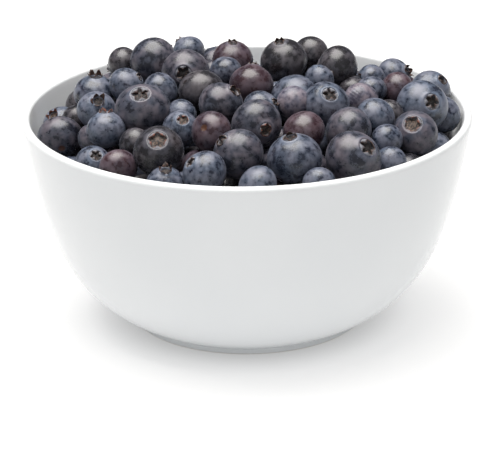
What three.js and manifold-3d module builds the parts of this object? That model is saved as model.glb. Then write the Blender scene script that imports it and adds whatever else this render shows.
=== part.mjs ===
// A plain white porcelain bowl, heaped with fresh blueberries.
// Millimetres, +Z up. The origin is the middle of the foot ring, on the table.
// The front of the bowl faces -Y, and +X is on its right.

import * as THREE from "three";
import { mergeVertices } from "three/addons/utils/BufferGeometryUtils.js";
import Module from "manifold-3d";

const wasm = await Module();
wasm.setup();

// Driving dimensions of the bowl
const RIM_RADIUS = 75;
const RIM_HEIGHT = 71.5;
const WALL_TOP = 69.765;
const LIP_THICKNESS = 3;
const BASE_THICKNESS = 4.5;
const BODY_FOOT_RADIUS = 40.6;
const FOOT_RADIUS = 39.95;
const FOOT_HEIGHT = 2.5;
const FOOT_RING_WIDTH = 3.6;
const FOOT_EDGE = 0.55;
const FOOT_RECESS = 2;
const FLOOR_HEIGHT = 5.8;
// How far the wall bellies out above the foot, as handles of its curve: radius, height
const BELLY_LOW = [64.8, 13.55];
const BELLY_HIGH = [70.1, 39.2];
const BOWL_SEGMENTS = 40;
const WALL_STEPS = 8;
const LIP_STEPS = 4;

// The heap: heights of the berries' middles beside the wall and along its ridge
const WALL_LEVEL = 65.5;
const WALL_LEVEL_RIGHT = 2.6;
const WALL_LEVEL_FRONT = 3;
const SHOULDER_LEVEL = 4.5;
const SHOULDER_ANGLE = 30;
const RIDGE_LEVEL = 84.5;
const RIDGE_LEFT = -30;
const RIDGE_RIGHT = 18;
const RIDGE_BACK = 26;
const HEAP_RADIUS = 64;
const HEAP_WALL_STEPS = 39;
const FRONT_ROUNDNESS = 2.1;
const BACK_ROUNDNESS = 0.95;
const CORE_SINK = 3.6;
const CORE_SMOOTHING = 8;
const PILLAR_DEPTH = 16;
const PILLAR_SIDES = 3;
const CORE_CLEARANCE = 0.4;
const CORE_SECTORS = 20;
const CORE_RINGS = 5;

// The berries: a blueberry is a little flatter from its crown to its stem than it is wide
const BERRY_FLATNESS = 0.9;
const SMALLEST_BERRY = 5.2;
const BERRY_CLEARANCE = 0.35;
const CLEAR_OF_RIM = 0.2;
const BERRY_DETAIL = 1;
const CROWN_RADIUS = 0.38;
const CROWN_HEIGHT = 0.12;
const CROWN_DEPTH = 0.4;
const CROWN_NOTCH = 0.12;
const CROWN_LOBES = 5;
const LOWEST_CROWN_SLOPE = 0.8;
const SEED = 7;

// The place the heap is looked at from: the point it looks at, how far off it is, how high
// it stands, and how far the picture is turned. A picture place is across and down in the
// picture, which is 500 across and 460 down.
const LOOK_AT = new THREE.Vector3(0.7, 0, 28.5);
const LOOK_DISTANCE = 900;
const LOOK_DOWN = THREE.MathUtils.degToRad(21.3);
const LOOK_TURN = THREE.MathUtils.degToRad(-0.59);
const LOOK_LENGTH = 2654;
// How far before and behind the point it looks at the eye searches for the heap, how finely,
// and how far back the heap still counts
const SEARCH = { before: 130, behind: 110, step: 1, back: 60 };
const PICTURE_MIDDLE = { across: 250, down: 230 };

// The berries that show from the front, each at its picture place with its own width in
// millimetres. deeper is how far it lies behind or under its neighbours, in millimetres.
// crownAcross and crownDown are the picture place of its crown, where the crown shows.
const COLUMNS = ["across", "down", "width", "deeper", "crownAcross", "crownDown"];
const LEFT_BACK = [
  [54.6, 125.5, 12.5, 0, 46.7, 116],
  [73, 108, 12, 0],
  [79, 117, 10.5, 4],
  [95.5, 98, 14.5, 0, 97, 78],
  [97, 113, 13, 0, 100, 103],
  [124.5, 87, 12.5, 0, 139, 77],
  [127, 63.5, 11.5, 0],
  [151.9, 62.5, 16, 0],
  [188, 53, 11.5, 0, 176.6, 38],
  [184.6, 73, 16, 0, 183, 75.5],
  [159, 94, 12.5, 0],
  [202.5, 92, 15, 0],
  [225.2, 73, 11.5, 0],
  [232.4, 60, 14, 0, 233, 42],
];
const LEFT_FRONT = [
  [61.8, 136.6, 15, 0],
  [108, 129.5, 13, 0, 107.3, 109.8],
  [97, 136, 12, 5],
  [144.7, 110.5, 18, 0, 143.1, 93.3],
  [178, 115, 10.5, 3],
  [183, 130, 12, 0, 185.4, 120.4],
  [208.5, 132, 13.5, 0],
  [158.3, 151, 16.5, 0, 157.5, 138.8],
  [134.4, 144.8, 10.5, 4],
  [119.2, 168, 12.5, 0],
  [94, 164, 12, 0, 97.7, 154.7],
  [166, 185, 12, 0, 167, 169.5],
  [204.5, 174.5, 14.5, 0, 188.5, 162],
];
const MIDDLE = [
  [220.5, 104, 15, 0, 235, 89.5],
  [237.4, 153.5, 16.5, 0, 219.5, 139.5],
  [257.5, 186.5, 13, 0],
  [256.3, 124.5, 16.5, 0, 266.3, 130.5],
  [261.5, 111.5, 12.5, 0, 275.9, 103.5],
  [253.4, 85.5, 15, 0, 255, 62],
  [287, 60, 16, 0, 282, 40.5],
  [307.5, 56, 12.5, 0],
  [341.6, 72.5, 14.5, 0],
  [317, 82, 10.5, 0],
  [295, 97, 17, 5],
  [297, 103, 11, 2],
  [320, 105, 15.5, 0, 323.7, 94.1],
];
const RIGHT_FRONT = [
  [350, 131, 15.5, 0],
  [304, 132.5, 14, 1],
  [295, 160.5, 17.5, 0, 289.4, 138.5],
  [354, 158.5, 18, 0, 369, 146.5],
  [388, 140, 10.5, 0],
  [389, 163, 10.5, 4],
  [416.5, 137, 15, 0, 412.2, 126.8],
  [434, 147, 11, 6],
  [322, 189, 10.5, 2],
];
const RIGHT_BACK = [
  [362, 103, 12, 0],
  [373.3, 117, 13, 0],
  [391, 114, 10.5, 5],
  [420, 107.5, 17.5, 0, 429.7, 103.7],
  [442, 115, 14, 0],
  [435, 91, 14, 0, 447, 80],
  [394, 76.5, 12.5, 0, 409, 70],
  [394, 90.5, 11.5, 0],
  [370, 90, 10.5, 6],
  [367.5, 83, 10.5, 4],
  [357, 84, 10.5, 6],
];
const SHOWING = [LEFT_BACK, LEFT_FRONT, MIDDLE, RIGHT_FRONT, RIGHT_BACK].flat();

// The other berries, each kind with how many places are tried for it and how near it may
// come to others before it settles. The showing berries hide the spare ones. Those in the
// gaps between them and those below start under the heap's level, by under and up to depth.
const SPARE = { tries: 1500, reach: 63, least: 6.3, spread: 2.4, near: 0.92 };
const GAP = { tries: 6000, reach: 66, least: 5.2, spread: 2.6, near: 0.84, under: 5, depth: 6 };
const LOWER = { tries: 6000, reach: 62, least: 6, spread: 2.4, near: 0.84, under: 8, depth: 11 };
const HIDING_DROPS = [0, 2, 4, 6, 8, 10, 12];
const HIDING_MARGIN = 1.1;

// Settling: how close two berries may lie, and how strongly each rule moves them in a round
const SETTLING = {
  rounds: 160, touch: 0.985, push: 0.275, showingShare: 0.6, toSight: 0.18, toDepth: 0.08,
};

const PORCELAIN = new THREE.MeshStandardMaterial({
  name: "white porcelain", color: 0xe9ebec, roughness: 0.22, metalness: 0,
});
const BERRY_SKIN = new THREE.MeshStandardMaterial({
  name: "blueberry skin", color: 0x3c4356, roughness: 0.55, metalness: 0,
});

// Outside of the bowl's wall, from just above the foot ring up to the lip
function outerWall() {
  return new THREE.CubicBezierCurve(
    new THREE.Vector2(BODY_FOOT_RADIUS, FOOT_HEIGHT),
    new THREE.Vector2(...BELLY_LOW),
    new THREE.Vector2(...BELLY_HIGH),
    new THREE.Vector2(RIM_RADIUS, WALL_TOP),
  );
}

// Inside of the wall, bottom to top: it thins steadily from the base to the lip.
// Each point has the direction that faces the middle of the bowl.
function innerWall(steps) {
  const curve = outerWall();
  const points = [];
  for (let step = 0; step <= steps; step += 1) {
    const t = step / steps;
    const along = curve.getTangent(t);
    const inward = new THREE.Vector2(-along.y, along.x);
    const thickness = THREE.MathUtils.lerp(BASE_THICKNESS, LIP_THICKNESS, t);
    const place = curve.getPoint(t).addScaledVector(inward, thickness);
    points.push({ place, inward });
  }
  return points;
}

// Closed section of the bowl, from the middle of its underside round to the middle of its floor
function bowlSection() {
  const ringInside = FOOT_RADIUS - FOOT_RING_WIDTH;
  const section = [
    new THREE.Vector2(0, FOOT_RECESS),
    new THREE.Vector2(ringInside - FOOT_EDGE, FOOT_RECESS),
    new THREE.Vector2(ringInside, 0),
    new THREE.Vector2(FOOT_RADIUS - FOOT_EDGE, 0),
    new THREE.Vector2(FOOT_RADIUS, FOOT_EDGE),
    new THREE.Vector2(FOOT_RADIUS, FOOT_HEIGHT - FOOT_EDGE),
    ...outerWall().getPoints(WALL_STEPS),
  ];
  const inner = innerWall(WALL_STEPS).reverse();
  const outerLip = section[section.length - 1];
  const innerLip = inner[0].place;
  const lipMiddle = outerLip.clone().lerp(innerLip, 0.5);
  const lipRadius = LIP_THICKNESS / 2;
  for (let step = 1; step < LIP_STEPS; step += 1) {
    const angle = Math.PI * step / LIP_STEPS;
    const offset = new THREE.Vector2(Math.cos(angle), Math.sin(angle)).multiplyScalar(lipRadius);
    section.push(lipMiddle.clone().add(offset));
  }
  section.push(...inner.map((point) => point.place));
  section.push(new THREE.Vector2(0, FLOOR_HEIGHT));
  return section;
}

// Turns a section of radius and height about the upright axis
function turned(section, segments) {
  return new THREE.LatheGeometry(section, segments).rotateX(Math.PI / 2);
}

function makeBowl() {
  const bowl = new THREE.Mesh(turned(bowlSection(), BOWL_SEGMENTS), PORCELAIN);
  bowl.name = "bowl";
  return bowl;
}

// Height of the berries' middles where the heap meets the wall, all the way round
function wallLevel(angle) {
  const shoulder = Math.max(0, Math.cos(angle - THREE.MathUtils.degToRad(SHOULDER_ANGLE)));
  return WALL_LEVEL + WALL_LEVEL_RIGHT * Math.cos(angle) - WALL_LEVEL_FRONT * Math.sin(angle)
    + SHOULDER_LEVEL * shoulder ** 4;
}

// Height of the berries' middles over the table: a ridge that falls away to the wall,
// in a rounded slope at the front and a straighter one at the back
function heapLevel(x, y) {
  const ridge = new THREE.Vector2(THREE.MathUtils.clamp(x, RIDGE_LEFT, RIDGE_RIGHT), RIDGE_BACK);
  const offset = new THREE.Vector2(x, y).sub(ridge);
  const distance = offset.length() + 1e-9;
  const away = offset.divideScalar(distance);
  const along = ridge.dot(away);
  const toWall = -along + Math.sqrt(along ** 2 - ridge.lengthSq() + HEAP_RADIUS ** 2);
  const share = Math.min(1, distance / toWall);
  const back = Math.max(0, away.y);
  const roundness = THREE.MathUtils.lerp(FRONT_ROUNDNESS, BACK_ROUNDNESS, back);
  const edge = wallLevel(Math.atan2(y, x));
  return edge + (RIDGE_LEVEL - edge) * (1 - share ** roundness);
}

const LOOKING = new THREE.Vector3(0, Math.cos(LOOK_DOWN), -Math.sin(LOOK_DOWN));
const SIDEWAYS = new THREE.Vector3(1, 0, 0);
const UPWARDS = new THREE.Vector3(0, Math.sin(LOOK_DOWN), Math.cos(LOOK_DOWN));
const EYE = LOOK_AT.clone().addScaledVector(LOOKING, -LOOK_DISTANCE);

// Direction from the eye through a place in the picture
function sightLine(across, down) {
  const offset = new THREE.Vector2(across - PICTURE_MIDDLE.across, down - PICTURE_MIDDLE.down);
  offset.rotateAround(new THREE.Vector2(), -LOOK_TURN);
  return LOOKING.clone()
    .addScaledVector(SIDEWAYS, offset.x / LOOK_LENGTH)
    .addScaledVector(UPWARDS, -offset.y / LOOK_LENGTH)
    .normalize();
}

// Place in the picture of a point, how far in front of the eye it is, and the size there
// of one millimetre
function pictured(point) {
  const offset = point.clone().sub(EYE);
  const away = offset.dot(LOOKING);
  const scale = LOOK_LENGTH / away;
  const place = new THREE.Vector2(offset.dot(SIDEWAYS), -offset.dot(UPWARDS));
  place.multiplyScalar(scale).rotateAround(new THREE.Vector2(), LOOK_TURN);
  return { place, away, scale };
}

// Where a line of sight comes down onto the heap, or the nearest that it comes to it
function meetHeap(sight) {
  const start = LOOK_DISTANCE - SEARCH.before;
  const end = LOOK_DISTANCE + SEARCH.behind;
  let nearest = { gap: Infinity, reach: start };
  let before = Infinity;
  for (let reach = start; reach <= end; reach += SEARCH.step) {
    const point = EYE.clone().addScaledVector(sight, reach);
    const gap = point.z - heapLevel(point.x, point.y);
    if (before > 0 && gap <= 0) {
      const between = before === Infinity ? 0 : SEARCH.step * gap / (before - gap);
      return EYE.clone().addScaledVector(sight, reach + between);
    }
    if (Math.abs(point.y) < SEARCH.back && gap < nearest.gap) {
      nearest = { gap, reach };
    }
    before = gap;
  }
  return EYE.clone().addScaledVector(sight, nearest.reach);
}

// The same run of numbers between 0 and 1 for the same seed
function seededDraw(seed) {
  let state = seed;
  return () => {
    state = (state * 1664525 + 1013904223) % 4294967296;
    return state / 4294967296;
  };
}

function isFree(point, radius, berries, near) {
  return berries.every((other) => point.distanceTo(other.middle) > near * (radius + other.radius));
}

// Whether the showing berries hide a spare one from the front
function isHidden(point, radius, showing) {
  const spare = pictured(point);
  const spots = [spare.place];
  for (let turn = 0; turn < 8; turn += 1) {
    const angle = turn * Math.PI / 4;
    const reach = radius * spare.scale * HIDING_MARGIN;
    spots.push(spare.place.clone().add(
      new THREE.Vector2(Math.cos(angle), Math.sin(angle)).multiplyScalar(reach),
    ));
  }
  return spots.every((spot) => showing.some((berry) => berry.seen.away < spare.away
    && spot.distanceTo(berry.seen.place) < berry.radius * berry.seen.scale));
}

function showingBerries() {
  return SHOWING.map((row) => {
    const berry = Object.fromEntries(COLUMNS.map((column, index) => [column, row[index]]));
    const sight = sightLine(berry.across, berry.down);
    const start = meetHeap(sight).addScaledVector(sight, berry.deeper);
    return {
      ...berry, sight, start, middle: start.clone(), seen: pictured(start),
      radius: Math.max(berry.width / 2, SMALLEST_BERRY), share: SETTLING.showingShare,
    };
  });
}

// Tries places at random over the bowl. settle gives the berry's middle there, or nothing.
function scatter(rule, draw, berries, settle) {
  for (let count = 0; count < rule.tries; count += 1) {
    const angle = 2 * Math.PI * draw();
    const reach = Math.sqrt(draw()) * rule.reach;
    const radius = rule.least + rule.spread * draw();
    const middle = settle(reach * Math.cos(angle), reach * Math.sin(angle), radius);
    if (middle && isFree(middle, radius, berries, rule.near)) {
      berries.push({ middle, radius, start: middle.clone(), share: 1, rule });
    }
  }
}

// Moves berries apart where they overlap, and brings each back towards where it belongs
function settleRound(berries, wall) {
  const moves = berries.map(() => new THREE.Vector3());
  for (let first = 0; first < berries.length; first += 1) {
    for (let second = first + 1; second < berries.length; second += 1) {
      const gap = berries[first].middle.clone().sub(berries[second].middle);
      const distance = gap.length();
      const touch = SETTLING.touch * (berries[first].radius + berries[second].radius);
      if (distance < touch) {
        gap.multiplyScalar((touch - distance) / distance * SETTLING.push);
        moves[first].add(gap);
        moves[second].sub(gap);
      }
    }
  }
  berries.forEach((berry, index) => {
    const { middle, start, radius } = berry;
    middle.addScaledVector(moves[index], berry.share);
    if (berry.sight) {
      const reach = middle.clone().sub(EYE).dot(berry.sight);
      const offLine = middle.clone().sub(EYE).addScaledVector(berry.sight, -reach);
      middle.addScaledVector(offLine, -SETTLING.toSight);
      const beyond = middle.clone().sub(start).dot(berry.sight);
      middle.addScaledVector(berry.sight, -beyond * SETTLING.toDepth);
    } else if (berry.rule !== LOWER) {
      middle.addScaledVector(start.clone().sub(middle), SETTLING.toDepth);
    }
    keepOffWall(middle, radius, wall);
  });
}

// Pushes a berry off the inside of the wall, square to the wall, where it would touch
function keepOffWall(middle, radius, wall) {
  if (middle.z - radius * CLEAR_OF_RIM > RIM_HEIGHT + LIP_THICKNESS) {
    return;
  }
  const reach = Math.hypot(middle.x, middle.y);
  const section = new THREE.Vector2(reach, middle.z);
  let nearest = wall[0];
  for (const point of wall) {
    if (section.distanceTo(point.place) < section.distanceTo(nearest.place)) {
      nearest = point;
    }
  }
  const gap = section.clone().sub(nearest.place).dot(nearest.inward);
  const push = Math.max(0, radius + BERRY_CLEARANCE - gap);
  const scale = (reach + push * nearest.inward.x) / Math.max(reach, 1e-6);
  middle.set(middle.x * scale, middle.y * scale, middle.z + push * nearest.inward.y);
}

// All the berries of the heap's top, settled against each other and the wall
function settledHeap() {
  const berries = showingBerries();
  const showing = berries.slice();
  const draw = seededDraw(SEED);
  scatter(SPARE, draw, berries, (x, y, radius) => HIDING_DROPS
    .map((drop) => new THREE.Vector3(x, y, heapLevel(x, y) - drop))
    .find((middle) => isHidden(middle, radius, showing)));
  for (const rule of [GAP, LOWER]) {
    scatter(rule, draw, berries, (x, y) => (
      new THREE.Vector3(x, y, heapLevel(x, y) - rule.under - rule.depth * draw())));
  }
  const wall = innerWall(HEAP_WALL_STEPS);
  for (let round = 0; round < SETTLING.rounds; round += 1) {
    settleRound(berries, wall);
  }
  return berries;
}

// Direction of a berry's crown: where it shows in the picture, or else a random way
// that the front doesn't see
function crownDirection(berry, draw) {
  const height = 2 * draw() - 1;
  const angle = 2 * Math.PI * draw();
  const ring = Math.sqrt(1 - height ** 2);
  const random = new THREE.Vector3(ring * Math.cos(angle), ring * Math.sin(angle), height);
  if (berry.crownAcross === undefined) {
    const facing = random.dot(LOOKING);
    return facing < 0 ? random.addScaledVector(LOOKING, -2 * facing) : random;
  }
  const scale = berry.seen.scale * berry.radius;
  const offset = new THREE.Vector2(
    (berry.crownAcross - berry.across) / scale, (berry.crownDown - berry.down) / scale,
  );
  offset.rotateAround(new THREE.Vector2(), -LOOK_TURN);
  const toward = Math.sqrt(Math.max(0, 1 - offset.lengthSq()));
  return new THREE.Vector3()
    .addScaledVector(SIDEWAYS, offset.x)
    .addScaledVector(UPWARDS, -offset.y)
    .addScaledVector(LOOKING, -toward)
    .normalize();
}

// Turns a closed three.js geometry into a solid that can be joined and cut
function solid(geometry) {
  const bare = geometry.clone();
  bare.deleteAttribute("normal");
  bare.deleteAttribute("uv");
  const merged = mergeVertices(bare);
  return new wasm.Manifold(new wasm.Mesh({
    numProp: 3,
    vertProperties: Float32Array.from(merged.attributes.position.array),
    triVerts: Uint32Array.from(merged.index.array),
  }));
}

function geometryOf(manifold) {
  const mesh = manifold.getMesh();
  const geometry = new THREE.BufferGeometry();
  geometry.setAttribute("position", new THREE.BufferAttribute(mesh.vertProperties, mesh.numProp));
  geometry.setIndex(new THREE.BufferAttribute(mesh.triVerts, 1));
  geometry.computeVertexNormals();
  return geometry;
}

// The crown at the end of a blueberry: a low star of five lobes with a sunken middle, on a
// berry of radius 1 whose crown faces +Z
function crownGeometry() {
  const around = 2 * CROWN_LOBES;
  const foot = BERRY_FLATNESS - CROWN_DEPTH;
  const top = BERRY_FLATNESS + CROWN_HEIGHT;
  const positions = [0, 0, BERRY_FLATNESS];
  for (let corner = 0; corner < around; corner += 1) {
    const angle = corner * Math.PI / CROWN_LOBES;
    const reach = corner % 2 ? CROWN_RADIUS - CROWN_NOTCH : CROWN_RADIUS;
    positions.push(reach * Math.cos(angle), reach * Math.sin(angle), top);
  }
  for (let corner = 0; corner < around; corner += 1) {
    const angle = corner * Math.PI / CROWN_LOBES;
    const reach = CROWN_RADIUS - CROWN_NOTCH;
    positions.push(reach * Math.cos(angle), reach * Math.sin(angle), foot);
  }
  positions.push(0, 0, foot);
  const lowest = 2 * around + 1;
  const index = [];
  for (let corner = 0; corner < around; corner += 1) {
    const high = 1 + corner;
    const highNext = 1 + (corner + 1) % around;
    const [low, lowNext] = [high + around, highNext + around];
    index.push(0, high, highNext);
    index.push(high, low, lowNext, high, lowNext, highNext);
    index.push(lowest, lowNext, low);
  }
  const geometry = new THREE.BufferGeometry();
  geometry.setAttribute("position", new THREE.Float32BufferAttribute(positions, 3));
  geometry.setIndex(index);
  return geometry;
}

// One berry, turned and placed, with its crown where that shows above the heap
function berrySolid(berry, crown, facing) {
  const body = new THREE.IcosahedronGeometry(1, BERRY_DETAIL).scale(1, 1, BERRY_FLATNESS);
  const turn = new THREE.Quaternion().setFromUnitVectors(new THREE.Vector3(0, 0, 1), facing);
  const size = new THREE.Vector3().setScalar(berry.radius);
  const placing = new THREE.Matrix4().compose(berry.middle, turn, size);
  const bare = solid(body.applyMatrix4(placing));
  const shows = facing.z > LOWEST_CROWN_SLOPE || berry.crownAcross !== undefined;
  return shows ? bare.add(solid(crown.clone().applyMatrix4(placing))) : bare;
}

// Height of the core's top: a little under the middles of the top berries round about
function coreLevel(x, y, berries) {
  let heights = 0;
  let weights = 0;
  for (const { middle, rule } of berries) {
    if (rule !== GAP && rule !== LOWER) {
      const distance = Math.hypot(x - middle.x, y - middle.y) / CORE_SMOOTHING;
      const weight = Math.exp(-0.5 * distance ** 2);
      heights += weight * middle.z;
      weights += weight;
    }
  }
  return heights / weights - CORE_SINK;
}

// What fills the bowl under the berries: its top follows the heap, a little lower
function heapCore(berries) {
  const positions = [0, 0, coreLevel(0, 0, berries)];
  const index = [];
  const last = CORE_RINGS - 1;
  for (let ring = 0; ring < CORE_RINGS; ring += 1) {
    const reach = RIM_RADIUS * (ring + 1) / CORE_RINGS;
    for (let sector = 0; sector < CORE_SECTORS; sector += 1) {
      const angle = 2 * Math.PI * sector / CORE_SECTORS;
      const [x, y] = [reach * Math.cos(angle), reach * Math.sin(angle)];
      positions.push(x, y, coreLevel(x, y, berries));
    }
  }
  const floor = positions.length / 3;
  for (let sector = 0; sector < CORE_SECTORS; sector += 1) {
    const rim = 1 + last * CORE_SECTORS + sector;
    positions.push(positions[3 * rim], positions[3 * rim + 1], 0);
  }
  positions.push(0, 0, 0);
  const bottom = floor + CORE_SECTORS;
  for (let sector = 0; sector < CORE_SECTORS; sector += 1) {
    const next = (sector + 1) % CORE_SECTORS;
    index.push(0, 1 + sector, 1 + next);
    for (let ring = 0; ring < last; ring += 1) {
      const inner = 1 + ring * CORE_SECTORS;
      const outer = inner + CORE_SECTORS;
      index.push(inner + sector, outer + sector, outer + next);
      index.push(inner + sector, outer + next, inner + next);
    }
    const rim = 1 + last * CORE_SECTORS;
    index.push(rim + sector, floor + sector, floor + next);
    index.push(rim + sector, floor + next, rim + next);
    index.push(bottom, floor + next, floor + sector);
  }
  const heap = new THREE.BufferGeometry();
  heap.setAttribute("position", new THREE.Float32BufferAttribute(positions, 3));
  heap.setIndex(index);

  const cavity = innerWall(WALL_STEPS)
    .map(({ place, inward }) => place.clone().addScaledVector(inward, CORE_CLEARANCE));
  cavity.unshift(new THREE.Vector2(0, FLOOR_HEIGHT + CORE_CLEARANCE));
  const top = cavity[cavity.length - 1];
  cavity.push(new THREE.Vector2(top.x, RIM_HEIGHT + 2 * LIP_THICKNESS));
  cavity.push(new THREE.Vector2(0, RIM_HEIGHT + 2 * LIP_THICKNESS));
  return solid(heap).intersect(solid(turned(cavity, CORE_SECTORS)));
}

// One berry, the middlemost, of each group that nothing joins to the rest of the heap
function looseBerries(heap, berries) {
  const bodies = heap.decompose().sort((one, other) => other.volume() - one.volume());
  return bodies.slice(1).map((body) => {
    const { min, max } = body.boundingBox();
    const centre = new THREE.Vector3(...min).lerp(new THREE.Vector3(...max), 0.5);
    return berries.reduce((best, berry) => (
      berry.middle.distanceTo(centre) < best.middle.distanceTo(centre) ? berry : best));
  });
}

// A slim cone under a loose berry, which joins it to the core
function pillarSolid(berry) {
  const cone = new THREE.ConeGeometry(berry.radius / 2, PILLAR_DEPTH, PILLAR_SIDES);
  cone.rotateX(-Math.PI / 2);
  const { x, y, z } = berry.middle;
  return solid(cone.translate(x, y, z - PILLAR_DEPTH / 2));
}

// The whole heap as one body: the core with every berry of its top fused on
function makeBlueberries() {
  const draw = seededDraw(SEED);
  const crown = crownGeometry();
  const berries = settledHeap();
  let heap = heapCore(berries);
  for (const berry of berries) {
    const facing = crownDirection(berry, draw);
    if (berry.middle.z > coreLevel(berry.middle.x, berry.middle.y, berries)) {
      heap = heap.add(berrySolid(berry, crown, facing));
    }
  }
  for (const berry of looseBerries(heap, berries)) {
    heap = heap.add(pillarSolid(berry));
  }
  const bodies = heap.decompose();
  const largest = bodies.reduce((best, body) => (body.volume() > best.volume() ? body : best));
  const blueberries = new THREE.Mesh(geometryOf(largest), BERRY_SKIN);
  blueberries.name = "blueberries";
  return blueberries;
}

const group = new THREE.Group();
group.add(makeBowl());
group.add(makeBlueberries());

export default group;
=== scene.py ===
import bpy
import numpy as np
from mathutils import Matrix


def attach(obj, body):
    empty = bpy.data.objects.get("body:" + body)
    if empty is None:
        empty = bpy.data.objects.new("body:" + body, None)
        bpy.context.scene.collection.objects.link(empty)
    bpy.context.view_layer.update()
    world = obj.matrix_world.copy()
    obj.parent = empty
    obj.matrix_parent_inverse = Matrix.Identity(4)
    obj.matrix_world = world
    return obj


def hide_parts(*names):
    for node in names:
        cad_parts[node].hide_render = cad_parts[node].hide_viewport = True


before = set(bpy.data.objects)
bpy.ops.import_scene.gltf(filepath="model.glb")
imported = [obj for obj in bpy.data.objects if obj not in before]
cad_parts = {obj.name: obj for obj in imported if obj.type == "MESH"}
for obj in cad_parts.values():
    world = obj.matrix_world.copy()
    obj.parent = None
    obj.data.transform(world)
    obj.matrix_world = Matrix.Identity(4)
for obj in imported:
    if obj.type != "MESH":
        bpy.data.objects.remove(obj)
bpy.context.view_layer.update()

# A plain white porcelain bowl, heaped with fresh blueberries.
# Metres, +Z up, with the origin under the middle of the foot ring.
scene = bpy.context.scene


# The view: a long lens that looks down on the bowl from the front.
# It comes first, because the berries' places are given as this view shows them.
VIEW_TARGET = np.array([0.0007, 0.0, 0.0285])
VIEW_DISTANCE = 0.9
VIEW_DOWN = np.radians(21.3)
VIEW_TURN = np.radians(-0.59)
LENS_LENGTH = 2654
PICTURE_SIZE = np.array([500, 460])
SENSOR_WIDTH = 36.0
NEAREST_SEEN = 0.05
FARTHEST_SEEN = 20.0

LOOKING = np.array([0.0, np.cos(VIEW_DOWN), -np.sin(VIEW_DOWN)])
SIDEWAYS = np.array([1.0, 0.0, 0.0])
UPWARDS = np.array([0.0, np.sin(VIEW_DOWN), np.cos(VIEW_DOWN)])
EYE = VIEW_TARGET - LOOKING * VIEW_DISTANCE
TURNED = np.array([
    [np.cos(VIEW_TURN), -np.sin(VIEW_TURN)],
    [np.sin(VIEW_TURN), np.cos(VIEW_TURN)],
])


def sight_lines(places):
    """Direction from the eye through each picture place: the place's offset from the middle
    of the picture, turned upright and divided by the lens length, added to the way we look"""
    offsets = (places - PICTURE_SIZE / 2) @ TURNED
    lines = (
        LOOKING
        + offsets[:, :1] / LENS_LENGTH * SIDEWAYS
        - offsets[:, 1:] / LENS_LENGTH * UPWARDS
    )
    return lines / np.linalg.norm(lines, axis=1, keepdims=True)


def pictured(points):
    """Picture place of each point from the picture's middle, how far off it is, and the
    picture size there of one metre: offsets along the view's axes times lens length over
    distance, turned as the picture is"""
    offsets = points - EYE
    away = offsets @ LOOKING
    scale = LENS_LENGTH / away
    flat = np.stack([offsets @ SIDEWAYS, -(offsets @ UPWARDS)], axis=-1)
    return flat * scale[..., None] @ TURNED.T, away, scale


def make_camera():
    """Camera at the eye, with its axes along the view's, rolled by the picture's turn"""
    data = bpy.data.cameras.new("view")
    data.sensor_width = SENSOR_WIDTH
    data.lens = LENS_LENGTH / PICTURE_SIZE[0] * SENSOR_WIDTH
    data.clip_start = NEAREST_SEEN
    data.clip_end = FARTHEST_SEEN
    right = SIDEWAYS * TURNED[0, 0] + UPWARDS * TURNED[1, 0]
    upright = UPWARDS * TURNED[0, 0] - SIDEWAYS * TURNED[1, 0]
    camera = bpy.data.objects.new("view", data)
    placed = np.eye(4)
    placed[:3] = np.stack([right, upright, -LOOKING, EYE], axis=1)
    camera.matrix_world = Matrix(placed.tolist())
    scene.collection.objects.link(camera)
    scene.camera = camera


make_camera()


# The bowl: white porcelain under a clear glaze, shaped in one piece on a turning mould.
# It stands on a narrow ring whose edge was wiped bare of glaze before firing.
RIM_RADIUS = 0.075
WALL_TOP = 0.069765
LIP_THICKNESS = 0.003
BASE_THICKNESS = 0.0045
BODY_FOOT_RADIUS = 0.0406
FOOT_RADIUS = 0.03995
FOOT_HEIGHT = 0.0025
FOOT_RING_WIDTH = 0.0036
FOOT_EDGE = 0.0007
FOOT_RECESS = 0.002
FLOOR_HEIGHT = 0.0058
FLOOR_POWER = 4
BELLY_LOW = (0.0648, 0.01355)
BELLY_HIGH = (0.0701, 0.0392)
BOWL_SECTORS = 288
FLOOR_RINGS = 14
WALL_RINGS = 56
LIP_RINGS = 16
UNDERSIDE_RINGS = (0.6, 0.25)
RIM_WAVE = 0.00012
RIM_TURNS = (0.6, 2.0)


def outer_wall(t):
    """Outside of the wall, foot to lip, and the direction square to it that faces inwards:
    a cubic Bezier curve of radius and height, and its slope turned by a quarter"""
    t = np.asarray(t)[:, None]
    corners = np.array([
        (BODY_FOOT_RADIUS, FOOT_HEIGHT), BELLY_LOW, BELLY_HIGH, (RIM_RADIUS, WALL_TOP),
    ])
    shares = [(1 - t) ** 3, 3 * t * (1 - t) ** 2, 3 * t ** 2 * (1 - t), t ** 3]
    places = sum(share * corner for share, corner in zip(shares, corners))
    steps = np.diff(corners, axis=0)
    slope = (1 - t) ** 2 * steps[0] + 2 * t * (1 - t) * steps[1] + t ** 2 * steps[2]
    slope /= np.linalg.norm(slope, axis=1, keepdims=True)
    return places, np.stack([-slope[:, 1], slope[:, 0]], axis=1)


def inner_wall(t):
    """Inside of the wall: the outside moved inwards by a thickness that falls steadily from
    the base to the lip"""
    places, inward = outer_wall(t)
    thickness = BASE_THICKNESS + (LIP_THICKNESS - BASE_THICKNESS) * np.asarray(t)[:, None]
    return places + inward * thickness, inward


def arc(middle, radius, start, end, steps):
    """Points of a circle from one angle to another, in degrees"""
    angles = np.radians(np.linspace(start, end, steps))
    return np.array(middle) + radius * np.stack([np.cos(angles), np.sin(angles)], axis=1)


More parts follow.
